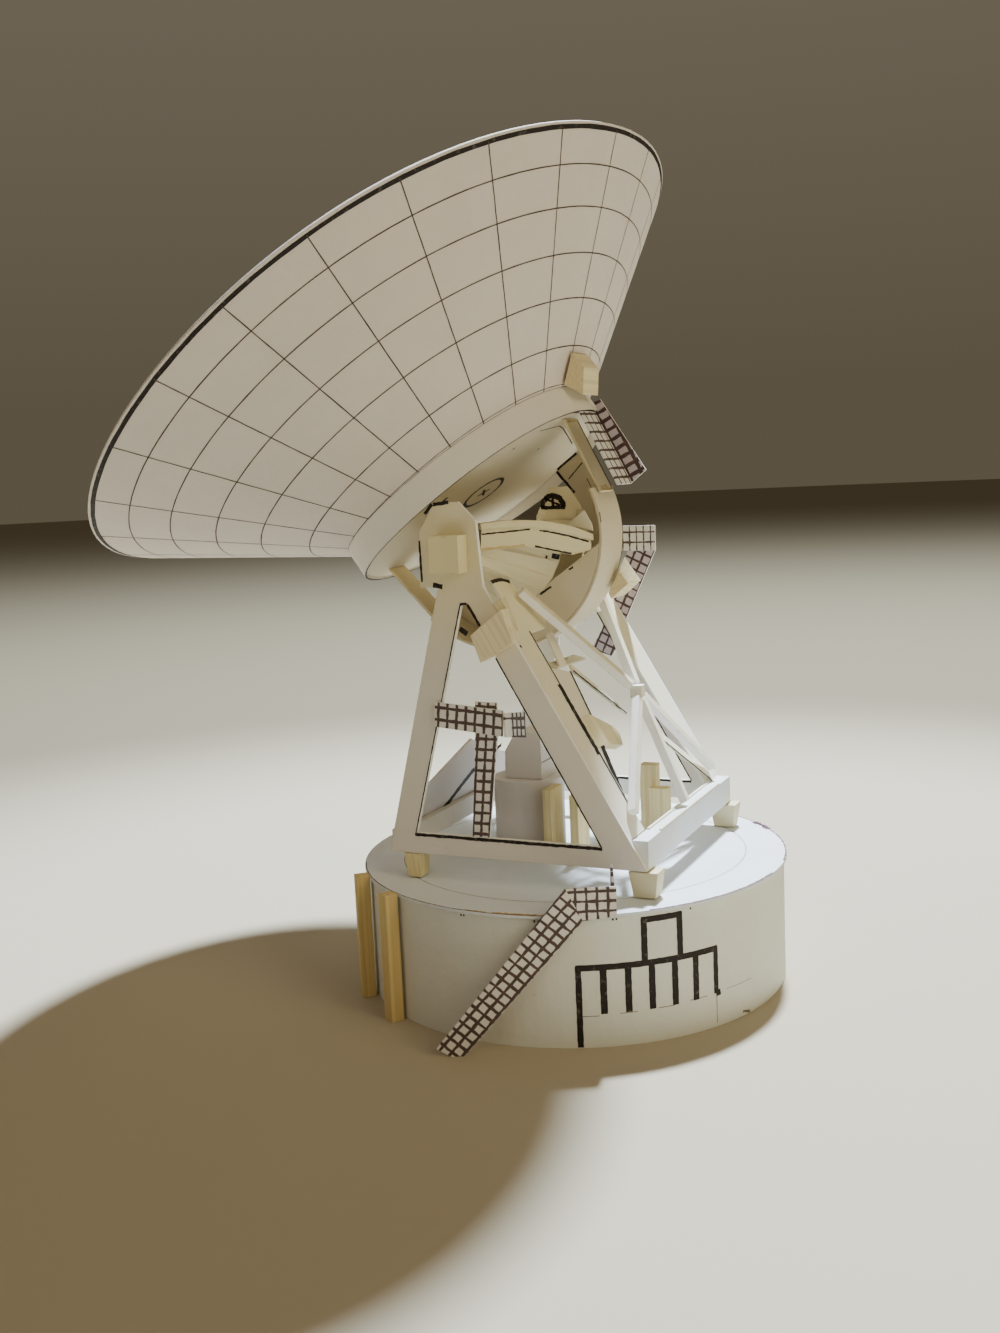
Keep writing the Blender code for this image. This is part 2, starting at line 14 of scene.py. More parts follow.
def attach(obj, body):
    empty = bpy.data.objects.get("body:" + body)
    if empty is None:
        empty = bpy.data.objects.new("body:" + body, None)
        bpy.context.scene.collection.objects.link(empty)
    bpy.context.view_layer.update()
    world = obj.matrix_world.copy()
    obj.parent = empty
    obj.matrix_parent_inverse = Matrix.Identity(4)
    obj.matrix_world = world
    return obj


MM = 0.001
X = Vector((1.0, 0.0, 0.0))
Y = Vector((0.0, 1.0, 0.0))
Z = Vector((0.0, 0.0, 1.0))

# The dish assembly's own directions: u along X, v up the dish, n along the dish axis
AXIS = Vector((0.0, -12.0, 90.0))
DISH_ELEVATION = 0.955
N_DIR = Vector((0.0, -math.cos(DISH_ELEVATION), math.sin(DISH_ELEVATION)))
V_DIR = N_DIR.cross(X)

# Cone of the reflector: mean circles and out-of-round terms, as in the CAD solid. Its
# printed rings are places from rim to back, and its ribs are angles in degrees.
CONE_CENTRE_V = 0.5
BACK = {"radius": 28.44, "axial": 13.96,
        "radius_waves": ((1, 0.0, 0.21), (2, 0.0, 0.07)),
        "axial_waves": ((1, 0.0, -0.53), (2, -0.75, 0.30))}
RIM = {"radius": 68.19, "axial": 43.94,
       "radius_waves": ((2, 1.12, -1.01), (3, -0.44, 0.27)),
       "axial_waves": ((2, 0.43, 0.36), (3, -0.09, 0.42))}
CONE_RINGS = (0.133, 0.286, 0.458, 0.632, 0.822)
CONE_RIBS = 24
CONE_RIB_STEP = 15.0
CONE_FIRST_RIB = 112.64

# Pedestal and alidade: feet are (y, z), and slopes are the run in y for each step up
DRUM_RADIUS = 42.6
ROOF_TOP = 24.9
ROOF_EDGE_RADIUS = 43.0
TRACK_RADIUS = 35.1
GARAGE_TOP = 15.0
STAIR_ANGLE = math.radians(25.0)
FRAME_X = 28.2
FRAME_DEPTH = 1.0
FRONT_FOOT = (25.7, 30.3)
FRONT_SLOPE = 0.584
FRONT_OUT = Vector((0.0, 1.0, FRONT_SLOPE)).normalized()
REAR_FOOT = (-27.4, 30.3)
REAR_SLOPE = 0.262
REAR_CARD = 0.52
HOOD_FRONT_Y = -4.9
BEAM_TOP = 35.7
SHELF_TOP = 65.78
TRIM_CARD = 0.35
INK_LIFT = 0.03

# Elevation wheel, collar and near arm
WHEEL_RADIUS = 22.8
FAR_WEB_X = -5.5
NEAR_WEB_X = 6.0
COLLAR_DEPTH = 5.45
COLLAR_RADIUS = 29.2
BACK_PLATE_AXIAL = 10.1
ARM_START = Vector((26.1, -5.9, 0.0))
ARM_DIR = (Vector((6.6, 9.4, 0.0)) - ARM_START).normalized()
ARM_SIDE = ARM_DIR.cross(Z)
ARM_WEB_HALF = 0.45
# The near trunnion's two ends: (x, radius, first angle, last angle)
TRUNNION_ENDS = ((26.6, 5.0, 20.0, -200.0), (6.05, 14.6, -6.0, -174.0))
TRUNNION_FOLDS = 12

CARD_TONE = (0.80, 0.755, 0.69)
CONE_TONE = (0.74, 0.67, 0.61)
CORE_TONE = (0.92, 0.90, 0.84)
GLUE_TONE = (0.62, 0.47, 0.22)
# Painted warm light: the tone the card takes on higher up, for warm light falling there
WARM_LIGHT_TONE = (0.81, 0.73, 0.49)
BALSA_TONE = (0.82, 0.70, 0.38)
PRINT_TONE = (0.045, 0.020, 0.018)
INK_TONE = (0.012, 0.009, 0.008)
STRIP_WHITE = (0.80, 0.77, 0.74)
# Painted shade: the mauve strip card is a copy of the white one for strips that sit in shade
STRIP_MAUVE_SHADE = (0.58, 0.50, 0.55)

# The floor's radius in mm, and the distances in metres over which its tone fades
FLOOR_RADIUS = 4000.0
FLOOR_TONES = ((0.46, 0.40, 0.30), (0.50, 0.44, 0.33))
FLOOR_FAR_TONE = (0.19, 0.16, 0.105)
FLOOR_FADE = (0.15, 0.34)

# Light from all round: height on a unit sphere and tone, for its low and its high end
WORLD_STRENGTH = 0.42
WORLD_TONES = ((0.05, (0.26, 0.22, 0.145, 1.0)), (0.8, (0.58, 0.49, 0.37, 1.0)))
# Lamps: name, direction from the aim, distance and size in metres, watts, colour
LIGHT_AIM = Vector((0.0, 0.0, 0.08))
LIGHTS = (
    ("key", (-0.464, -0.05, 0.885), 1.1, 0.10, 60.0, (0.76, 0.88, 1.0)),
    ("warm_fill", (0.35, 1.0, 0.55), 1.0, 0.6, 3.2, (1.0, 0.84, 0.50)),
    ("near_fill", (1.0, -0.35, 0.45), 1.0, 0.7, 0.55, (1.0, 0.82, 0.66)),
)

CAMERA_PLACE = Vector((260.695, 107.675, 104.414))
CAMERA_YAW = 0.44
CAMERA_PITCH = 0.143
CAMERA_ROLL = -0.046
CAMERA_LENS = 50.4
CAMERA_SENSOR = 36.0
CAMERA_CLIP = (0.01, 20.0)


# Materials

class Nodes:
    """Short calls for building one material's node tree in object coordinates."""

    def __init__(self, name):
        self.material = bpy.data.materials.new(name)
        self.material.use_nodes = True
        self.tree = self.material.node_tree
        self.shader = self.tree.nodes["Principled BSDF"]
        texture = self.add("ShaderNodeTexCoord")
        self.place = texture.outputs["Object"]
        self.normal = texture.outputs["Normal"]

    def add(self, kind, inputs=None, **settings):
        node = self.tree.nodes.new(kind)
        for key, value in settings.items():
            setattr(node, key, value)
        for key, value in (inputs or {}).items():
            self.feed(node.inputs[key], value)
        return node

    def feed(self, socket, value):
        if isinstance(value, bpy.types.NodeSocket):
            self.tree.links.new(value, socket)
        elif socket.type == "RGBA":
            socket.default_value = (*value[:3], 1.0)
        else:
            socket.default_value = value

    def maths(self, operation, a, b=0.0):
        return self.add("ShaderNodeMath", {0: a, 1: b}, operation=operation).outputs[0]

    def dot(self, vector, direction):
        node = self.add("ShaderNodeVectorMath", {0: vector, 1: tuple(direction)},
                        operation="DOT_PRODUCT")
        return node.outputs["Value"]

    def noise(self, scale, detail=2.0, vector=None, distortion=0.0):
        node = self.add("ShaderNodeTexNoise", {
            "Vector": vector or self.place, "Scale": scale, "Detail": detail,
            "Distortion": distortion,
        })
        return node.outputs["Fac"]

    def band(self, value, low, high):
        """0 below low and 1 above high, smooth between; falls where high is below low."""
        node = self.add("ShaderNodeMapRange", {
            "Value": value, "From Min": low, "From Max": high,
        }, interpolation_type="SMOOTHSTEP")
        return node.outputs["Result"]

    def mix(self, factor, low, high):
        node = self.add("ShaderNodeMixRGB", {"Fac": factor, "Color1": low, "Color2": high})
        return node.outputs["Color"]

    def stretched(self, along, across):
        """Coordinates squeezed across a direction, for grain that runs along it."""
        turn = X.rotation_difference(along).to_euler()
        node = self.add("ShaderNodeMapping", {
            "Vector": self.place, "Rotation": tuple(turn),
            "Scale": (1.0, 1.0 / across, 1.0 / across),
        }, vector_type="TEXTURE")
        return node.outputs["Vector"]

    def corner(self, radius):
        """(1 near an edge, 0 away from it; the rounded normal)."""
        bevel = self.add("ShaderNodeBevel", {"Radius": radius * MM}, samples=4)
        true = self.add("ShaderNodeNewGeometry").outputs["Normal"]
        cosine = self.add("ShaderNodeVectorMath",
                          {0: bevel.outputs["Normal"], 1: true},
                          operation="DOT_PRODUCT").outputs["Value"]
        return self.band(cosine, 0.995, 0.86), bevel.outputs["Normal"]

    def finish(self, colour, roughness, bumps, normal=None):
        """bumps is a list of (height, depth in mm)."""
        for height, depth in bumps:
            inputs = {"Height": height, "Distance": depth * MM, "Strength": 1.0}
            if normal is not None:
                inputs["Normal"] = normal
            normal = self.add("ShaderNodeBump", inputs).outputs["Normal"]
        self.feed(self.shader.inputs["Base Color"], colour)
        self.feed(self.shader.inputs["Roughness"], roughness)
        self.feed(self.shader.inputs["Normal"], normal)
        self.shader.inputs["Specular IOR Level"].default_value = 0.25
        return self.material


def toned(tone, factor):
    return tuple(min(1.0, c * factor) for c in tone)


def card(name, tone=CARD_TONE, facing=None, stains=0.35, waves=0.05, upper=None):
    """Matt card: mottled tone, fibres, specks, glue stains, pale cut edges, rubbed corners.

    upper is (low, high, warm tone): painted warm light, the card turns yellower between the two
    heights to stand in for warm light on its upper parts.
    """
    n = Nodes(name)
    mottle = n.noise(85.0, 3.0)
    fibre = n.noise(1900.0, 2.0)
    colour = n.mix(mottle, toned(tone, 0.93), toned(tone, 1.06))
    # Painted warm light: the card turns yellower between the two heights
    if upper is not None:
        low, high, warm_light = upper
        height = n.dot(n.place, Z)
        warm_lit = n.mix(mottle, toned(warm_light, 0.91), toned(warm_light, 1.06))
        colour = n.mix(n.band(height, low * MM, high * MM), colour, warm_lit)
    warm = n.band(n.noise(45.0, 2.0, distortion=0.5), 0.45, 0.75)
    colour = n.mix(n.maths("MULTIPLY", warm, 0.35), colour, (0.78, 0.70, 0.60))
    colour = n.mix(n.maths("MULTIPLY", fibre, 0.16), colour, toned(tone, 0.72))
    speck = n.band(n.noise(640.0, 1.0), 0.77, 0.80)
    colour = n.mix(n.maths("MULTIPLY", speck, 0.18), colour, (0.45, 0.38, 0.30))
    if facing is not None:
        side = n.maths("ABSOLUTE", n.dot(n.normal, facing))
        colour = n.mix(n.band(side, 0.8, 0.5), colour, CORE_TONE)
    edge, rounded = n.corner(0.22)
    rub = n.maths("MULTIPLY", edge, n.band(n.noise(700.0, 3.0), 0.42, 0.62))
    colour = n.mix(n.maths("MULTIPLY", rub, 0.55), colour, (0.50, 0.42, 0.34))
    seam, _ = n.corner(0.9)
    glue = n.maths("MULTIPLY", seam, n.band(n.noise(260.0, 3.0), 0.55, 0.70))
    colour = n.mix(n.maths("MULTIPLY", glue, stains), colour, GLUE_TONE)
    roughness = n.add("ShaderNodeMapRange", {"Value": fibre, "To Min": 0.72, "To Max": 0.95})
    bumps = [(fibre, 0.035), (n.noise(230.0, 2.0), waves)]
    return n.finish(colour, roughness.outputs["Result"], bumps, rounded)


def rulings(n, lines):
    """1 on the ruled lines and 0 between them.

    Each entry of lines is (direction, pitch, a place the lines pass through, width).
    """
    wander = n.maths("MULTIPLY", n.maths("SUBTRACT", n.noise(650.0, 2.0), 0.5), 0.45)
    mask = None
    for direction, pitch, through, width in lines:
        along = n.maths("MULTIPLY", n.dot(n.place, direction), 1.0 / MM)
        shifted = n.maths("SUBTRACT", along, Vector(through).dot(direction))
        away = n.maths("PINGPONG", shifted, pitch / 2.0)
        ragged = n.maths("ADD", away, wander)
        line = n.band(ragged, width / 2.0 + 0.07, width / 2.0 - 0.07)
        mask = line if mask is None else n.maths("MAXIMUM", mask, line)
    return mask


def printed(name, tone, lines, facing=None, beyond=None):
    """Card with printed rulings.

    beyond is (direction, a place, other lines): past that place along the direction the
    other lines take over.
    """
    n = Nodes(name)
    fibre = n.noise(1900.0, 2.0)
    colour = n.mix(n.noise(140.0, 3.0), toned(tone, 0.90), toned(tone, 1.06))
    mask = rulings(n, lines)
    if beyond is not None:
        direction, through, other = beyond
        along = n.maths("MULTIPLY", n.dot(n.place, direction), 1.0 / MM)
        past = n.maths("GREATER_THAN", along, Vector(through).dot(direction))
        mask = n.mix(past, mask, rulings(n, other))
    worn = n.band(n.noise(900.0, 3.0), 0.45, 0.75)
    colour = n.mix(n.maths("MULTIPLY", mask, 0.95), colour,
                   n.mix(worn, PRINT_TONE, toned(PRINT_TONE, 2.2)))
    if facing is not None:
        side = n.maths("ABSOLUTE", n.dot(n.normal, facing))
        colour = n.mix(n.band(side, 0.8, 0.5), colour, CORE_TONE)
    edge, rounded = n.corner(0.16)
    rub = n.maths("MULTIPLY", edge, n.band(n.noise(800.0, 3.0), 0.45, 0.6))
    colour = n.mix(n.maths("MULTIPLY", rub, 0.7), colour, CORE_TONE)
    roughness = n.add("ShaderNodeMapRange", {"Value": mask, "To Min": 0.85, "To Max": 0.62})
    return n.finish(colour, roughness.outputs["Result"],
                    [(fibre, 0.03), (mask, 0.012)], rounded)


def rule(node, name, tone, lines, facing=None, beyond=None):
    """Dress one CAD node in ruled card."""
    dress((node,), printed(name, tone, lines, facing=facing, beyond=beyond))


def ink(name, tone=INK_TONE, faded=0.5):
    """Printed or pen ink: dense, with thin worn places where the card shows through."""
    n = Nodes(name)
    thin = n.band(n.noise(1100.0, 3.0), 0.56, 0.78)
    blotch = n.noise(300.0, 2.0)
    colour = n.mix(blotch, tone, toned(tone, 2.2))
    colour = n.mix(n.maths("MULTIPLY", thin, faded), colour, (0.45, 0.38, 0.33))
    roughness = n.add("ShaderNodeMapRange", {"Value": blotch, "To Min": 0.5, "To Max": 0.8})
    return n.finish(colour, roughness.outputs["Result"], [(n.noise(1900.0, 2.0), 0.02)])


def balsa(name, along, tone=BALSA_TONE):
    """Raw balsa with grain and pores along one direction and fuzzy cut corners."""
    n = Nodes(name)
    grain = n.noise(14.0, 3.0, n.stretched(along, 110.0))
    pores = n.band(n.noise(60.0, 1.0, n.stretched(along, 45.0)), 0.66, 0.74)
    colour = n.mix(n.band(grain, 0.3, 0.7), toned(tone, 0.86), toned(tone, 1.08))
    colour = n.mix(n.maths("MULTIPLY", pores, 0.22), colour, (0.46, 0.32, 0.14))
    colour = n.mix(n.maths("MULTIPLY", n.noise(70.0, 1.0), 0.16), colour, (0.62, 0.47, 0.24))
    ends = n.band(n.maths("ABSOLUTE", n.dot(n.normal, along)), 0.6, 0.9)
    colour = n.mix(n.maths("MULTIPLY", ends, 0.35), colour, (0.66, 0.48, 0.24))
    edge, rounded = n.corner(0.25)
    fuzz = n.maths("MULTIPLY", edge, n.noise(900.0, 3.0))
    colour = n.mix(n.maths("MULTIPLY", fuzz, 0.6), colour, (0.93, 0.82, 0.58))
    roughness = n.add("ShaderNodeMapRange", {"Value": grain, "To Min": 0.62, "To Max": 0.9})
    return n.finish(colour, roughness.outputs["Result"],
                    [(grain, 0.05), (pores, -0.03)], rounded)


def dress(nodes, material):
    """Give carried-over CAD nodes their material."""
    for node in nodes:
        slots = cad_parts[node].material_slots
        for slot in slots:
            slot.material = material
        if not slots:
            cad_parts[node].data.materials.append(material)


# Surfaces that prints lie on: each takes two coordinates and gives (point, normal)

def wave(terms, angle):
    """Sum of out-of-round terms (order, cosine part, sine part) at an angle."""
    return sum(c * math.cos(k * angle) + s * math.sin(k * angle) for k, c, s in terms)


def local(u, v, n):
    """A place given along the dish assembly's own directions."""
    return AXIS + X * u + V_DIR * v + N_DIR * n


def on_cone(angle_deg, t):
    """t is 0 at the printed rim ring and 1 at the back edge."""
    angle = math.radians(angle_deg)
    ends = [(edge["radius"] + wave(edge["radius_waves"], angle),
             edge["axial"] + wave(edge["axial_waves"], angle)) for edge in (RIM, BACK)]
    radius, axial = (a + (b - a) * t for a, b in zip(*ends))
    outward = X * math.cos(angle) + V_DIR * math.sin(angle)
    run = RIM["radius"] - BACK["radius"]
    rise = RIM["axial"] - BACK["axial"]
    normal = (outward * rise - N_DIR * run).normalized()
    return local(0.0, CONE_CENTRE_V, axial) + outward * radius, normal


def on_drum(angle_deg, z):
    angle = math.radians(angle_deg)
    outward = Vector((math.cos(angle), math.sin(angle), 0.0))
    return outward * DRUM_RADIUS + Z * z, outward


def on_roof(angle_deg, radius):
    angle = math.radians(angle_deg)
    return Vector((radius * math.cos(angle), radius * math.sin(angle), ROOF_TOP)), Z


def on_wheel(u, angle_deg):
    """The elevation wheel's outer surface, by place across it and angle."""
    angle = math.radians(angle_deg)
    outward = V_DIR * math.cos(angle) + N_DIR * math.sin(angle)
    return local(u, 0.0, 0.0) + outward * WHEEL_RADIUS, outward


def on_arm(run, z):
    """The near arm's upright web, by distance along the arm and height."""
    return ARM_START + ARM_DIR * run + ARM_SIDE * ARM_WEB_HALF + Z * z, ARM_SIDE


def on_trunnion(fold, t):
    """The near trunnion's facets: fold counts its creases, t runs from bearing to wheel."""
    def crease(i):
        places = []
        for x, radius, start, end in TRUNNION_ENDS:
            angle = math.radians(start + (end - start) * i / TRUNNION_FOLDS)
            places.append(AXIS + X * x + Y * radius * math.cos(angle)
                          + Z * radius * math.sin(angle))
        return places[0].lerp(places[1], t)
    low = min(math.floor(fold), TRUNNION_FOLDS - 1)
    here, following = crease(low), crease(low + 1)
    centre = Vector((here.x, AXIS.y, AXIS.z))
    point = here.lerp(following, fold - low)
    return point, (point - centre).normalized()


def plane(origin, axis_a, axis_b, flip=False):
    """A flat surface through origin; flip turns its outer side round."""
    normal = axis_a.cross(axis_b).normalized() * (-1.0 if flip else 1.0)
    return lambda a, b: (origin + axis_a * a + axis_b * b, normal)


def front_point(x, z, out=0.0):
    """A place on the sloping front face of the frame."""
    y = FRONT_FOOT[0] - (z - FRONT_FOOT[1]) * FRONT_SLOPE
    return Vector((x, y, z)) + FRONT_OUT * out


def on_front(out=0.0):
    """The sloping front face, or a surface at a distance out from it."""
    return lambda x, z: (front_point(x, z, out), FRONT_OUT)


# Geometry

def mesh_object(name, bm, material, body):
    """Make an object from a bmesh in millimetres; without a body it belongs to the stage."""
    bmesh.ops.recalc_face_normals(bm, faces=bm.faces)
    for vert in bm.verts:
        vert.co *= MM
    mesh = bpy.data.meshes.new(name)
    bm.to_mesh(mesh)
    bm.free()
    mesh.materials.append(material)
    obj = bpy.data.objects.new(name, mesh)
    bpy.context.scene.collection.objects.link(obj)
    if body:
        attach(obj, body)
    return obj


def walk(surface, points, step):
    """Places along a stroke, no further apart than the step."""
    places = []
    for start, end in zip(points, points[1:]):
        span = (surface(*end)[0] - surface(*start)[0]).length
        count = max(1, math.ceil(span / step))
        places += [tuple(a + (b - a) * i / count for a, b in zip(start, end))
                   for i in range(count)]
    return places + [points[-1]]


def draw(name, body, surface, strokes, material, ragged, step=0.7):
    """Ink strokes, each (points, width), as thin ragged ribbons just above a surface."""
    rng = random.Random(name)
    bm = bmesh.new()
    for points, width in strokes:
        placed = [surface(*p) for p in walk(surface, points, step)]
        previous = None
        for i, (point, normal) in enumerate(placed):
            before = placed[max(0, i - 1)][0]
            after = placed[min(len(placed) - 1, i + 1)][0]
            side = normal.cross(after - before).normalized() * (width / 2.0)
            centre = point + normal * INK_LIFT
            pair = [bm.verts.new(centre + side * s * (1.0 + rng.uniform(-ragged, ragged)))
                    for s in (-1.0, 1.0)]
            if previous:
                bm.faces.new((previous[0], previous[1], pair[1], pair[0]))
            previous = pair
    mesh_object(name, bm, material, body)


def sheet(name, body, corners, normal, thickness, material):
    """A thin flat piece of card from its corners, with softly rubbed edges."""
    bm = bmesh.new()
    lows = [bm.verts.new(Vector(c)) for c in corners]
    highs = [bm.verts.new(Vector(c) + normal * thickness) for c in corners]
    bm.faces.new(lows)
    bm.faces.new(highs)
    for i in range(len(lows)):
        j = (i + 1) % len(lows)
        bm.faces.new((lows[i], lows[j], highs[j], highs[i]))
    bmesh.ops.triangulate(bm, faces=[f for f in bm.faces if len(f.verts) > 4])
    obj = mesh_object(name, bm, material, body)
    bevel = obj.modifiers.new("rubbed_edges", "BEVEL")
    bevel.width = min(0.08, thickness * 0.3) * MM
    bevel.segments = 2
    bevel.limit_method = "ANGLE"


def ring(second, count=160):
    """A full turn of angles in degrees, each with the same second coordinate."""
    return [(360.0 * i / count, second) for i in range(count + 1)]


def circle(centre, radius, count=48, start=0.0, sweep=360.0):
    """A circle or an arc in a flat surface's two coordinates."""
    angles = [math.radians(start + sweep * i / count) for i in range(count + 1)]
    return [(centre[0] + radius * math.cos(a), centre[1] + radius * math.sin(a))
            for a in angles]


def trim_sheet(name, outline, out, material):
    """A strip of trim in the sloping front face, at a distance out from it."""
    corners = [front_point(x, z, out) for x, z in outline]
    sheet(name, "alidade", corners, FRONT_OUT, TRIM_CARD, material)


def dress_cad():
    """Materials for the CAD nodes that show as they are."""
    nodes = tuple(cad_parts)
    dress(nodes, card("card_plain"))
    # The side frames carry painted warm light: their card turns yellower higher up.
    dress(("near_side_frame", "far_side_frame"),
          card("card_side_frames", facing=X, upper=(60.0, 84.0, WARM_LIGHT_TONE)))
    # Painted shade: a darker greyish copy of the card for the waveguide drum, hood and rear
    # panel, which sit in shade.
    dress(("waveguide_drum", "waveguide_hood", "rear_panel"),
          card("card_painted_shade_grey", (0.72, 0.68, 0.67)))
    braces = tuple(node for node in nodes if node.startswith("brace_"))
    # The front legs and braces carry painted warm light: their card turns yellower higher up.
    dress(("near_front_leg", "far_front_leg") + braces,
          card("card_front_legs", (0.86, 0.81, 0.68), FRONT_OUT, stains=0.5,
               upper=(40.0, 80.0, (0.88, 0.81, 0.54))))
    dress(("reflector_shell",), card("card_reflector", CONE_TONE, stains=0.15, waves=0.12))
    dress(("collar_band",), card("card_collar", (0.84, 0.80, 0.73)))
    dress(("collar_back_plate",), card("card_collar_back", (0.74, 0.67, 0.52), stains=0.5))
    dress(("pedestal_drum",), card("card_drum", (0.77, 0.79, 0.73), stains=0.15, waves=0.16))
    # Painted light: the bluish tint of the roof and beam card stands in for the cool key light
    # falling on them.
    dress(("pedestal_roof_disc",), card("card_roof", (0.80, 0.85, 0.91), stains=0.6, waves=0.1))
    dress(("front_bottom_beam",), card("card_beam", (0.80, 0.84, 0.86), stains=0.6))
    # The wheel's dark brown tone is partly its own browner card and partly painted shade for
    # the dish's shadow on it.
    dress(("wheel_rim", "wheel_web_near", "wheel_web_far"),
          card("card_wheel", (0.69, 0.61, 0.44), stains=0.7))
    dress(("wheel_bar_upper", "wheel_bar_lower"),
          card("card_glue_brushed", (0.78, 0.66, 0.42), stains=0.9))
    # Glue stains, and a brown tone that is partly the glued card's own and partly painted shade
    # for the dish's shadow on the arms and trunnions.
    dress(("near_wheel_arm", "far_wheel_arm", "near_trunnion", "far_trunnion",
           "near_front_foot", "far_front_foot"),
          card("card_glued_and_painted_shade", (0.76, 0.68, 0.44), stains=0.7))
    dress(("near_bearing_box", "far_bearing_box"),
          card("card_box", (0.80, 0.72, 0.42), stains=0.9, waves=0.3))


def dress_wood():
    """Balsa posts, feet, wedges and blocks, with the grain along each piece."""
    dress(("drum_post_near", "drum_post_side", "equipment_post_far",
           "equipment_post_short", "near_rear_foot", "far_rear_foot"),
          balsa("balsa_upright", Z))
    # The wall posts' darker, more orange balsa is partly its own colour and partly painted
    # shade.
    dress(("wall_post_rear", "wall_post_side"), balsa("balsa_wall", Z, (0.74, 0.57, 0.25)))
    dress(("cone_wedge_block", "wheel_wedge_block"),
          balsa("balsa_lying", X, (0.84, 0.74, 0.47)))
    up_leg = Vector((0.0, -FRONT_SLOPE, 1.0)).normalized()
    dress(("near_leg_block", "near_leg_block_return", "leg_wedge_block"),
          balsa("balsa_sloping", up_leg, (0.86, 0.77, 0.50)))


def dress_rulings():
    """Printed grids of the stairs, ladders and walkways."""
    outward = X * math.cos(STAIR_ANGLE) + Y * math.sin(STAIR_ANGLE)
    tangent = Vector((-math.sin(STAIR_ANGLE), math.cos(STAIR_ANGLE), 0.0))
    climb = (tangent * 22.1 + Z * 24.1).normalized()
    cross = climb.cross(outward).normalized()
    foot = tangent * -23.0
    fold = (tangent * 6.0 + Z * 2.9).normalized()
    landing = [(tangent, 1.92, tangent * 3.65, 0.5), (Z, 1.8, Z * 29.45, 0.5)]
    rule("pedestal_stair", "card_stair", STRIP_WHITE, [
        (climb, 1.8, foot + climb * 1.0, 0.54), (cross, 1.9, foot + cross * -0.35, 0.54),
    ], beyond=(fold, tangent * -0.9 + Z * 24.1, landing))
    # Mauve strip card: painted shade.
    rule("landing_side_rail", "card_landing_rail", STRIP_MAUVE_SHADE, [
        (-outward, 1.9, outward * 41.9, 0.6), (Z, 2.2, Z * 26.0, 0.6)])

    along = Vector((0.0, 1.0, -0.085)).normalized()
    upward = X.cross(along)
    start = Vector((0.0, -15.7, 55.7))
    rule("near_walkway", "card_walkway", STRIP_WHITE, [
        (along, 1.93, start + along * 0.7, 0.6), (upward, 2.35, start + upward * 1.45, 0.62),
    ], facing=X)
    row = (Vector((-0.183, 0.0, 1.0)).normalized(), 1.76, (23.8, 0.0, 56.84), 0.6)
    lone_row = (row[0], 20.0, row[2], 0.4)
    rule("near_walkway_return", "card_walkway_return", STRIP_WHITE, [
        (X, 1.85, X * 25.7, 0.75), row], beyond=(X, X * 26.3, [lone_row]))
    rails = Vector((0.0, 1.0, -0.11)).normalized()
    rule("near_ladder", "card_ladder", STRIP_WHITE, [
        (Z, 2.05, Z * 35.2, 0.62), (rails, 1.75, (0.0, -6.65, 40.0), 0.58)], facing=X)

    rule("far_platform_rail", "card_far_rail", STRIP_WHITE, [
        (Y, 1.6, Y * 1.0, 0.35), (Z, 2.2, Z * 86.4, 0.4)], facing=X)
    stair_up = Vector((0.0, 6.8, 14.2)).normalized()
    stair_foot = (0.0, 3.1, 70.3)
    # Mauve strip card: painted shade.
    rule("far_stair", "card_far_stair", STRIP_MAUVE_SHADE, [
        (stair_up, 2.0, stair_foot, 0.5), (X.cross(stair_up), 2.0, stair_foot, 0.5)], facing=X)

    down = (V_DIR * -2.25 + N_DIR * -15.8).normalized()
    step = (down, 2.0, local(0.0, 29.0, 8.0))
    rule("collar_platform_floor", "card_collar_floor", STRIP_WHITE, [
        (*step, 0.5), (X, 2.6, X * 3.6, 0.5)])
    # Mauve strip card: painted shade.
    rule("collar_platform_rail", "card_collar_rail", STRIP_MAUVE_SHADE, [
        (*step, 0.75), (X.cross(down), 2.6, local(0.0, 29.45, 8.45), 0.8)], facing=X)


def print_cone():
    """Panel lines, rim line and collar seam, as (angle, place from rim to back)."""
    thin = ink("ink_cone", (0.05, 0.035, 0.03), 0.3)
    width = 0.24
    rings = [(ring(t), width) for t in CONE_RINGS]
    ribs = [CONE_FIRST_RIB - CONE_RIB_STEP * k for k in range(CONE_RIBS)]
    radials = [([(angle, 0.0), (angle, 1.0)], width) for angle in ribs]
    draw("cone_ring_print", "dish", on_cone, rings, thin, 0.2, step=9.0)
    draw("cone_radial_print", "dish", on_cone, radials, thin, 0.2, step=1.5)
    draw("cone_rim_print", "dish", on_cone, [(ring(0.002), 0.85)],
         ink("ink_rim", faded=0.2), 0.12, step=9.0)
    draw("collar_seam_print", "dish", on_cone, [(ring(0.978), 0.16)], thin, 0.3, step=9.0)


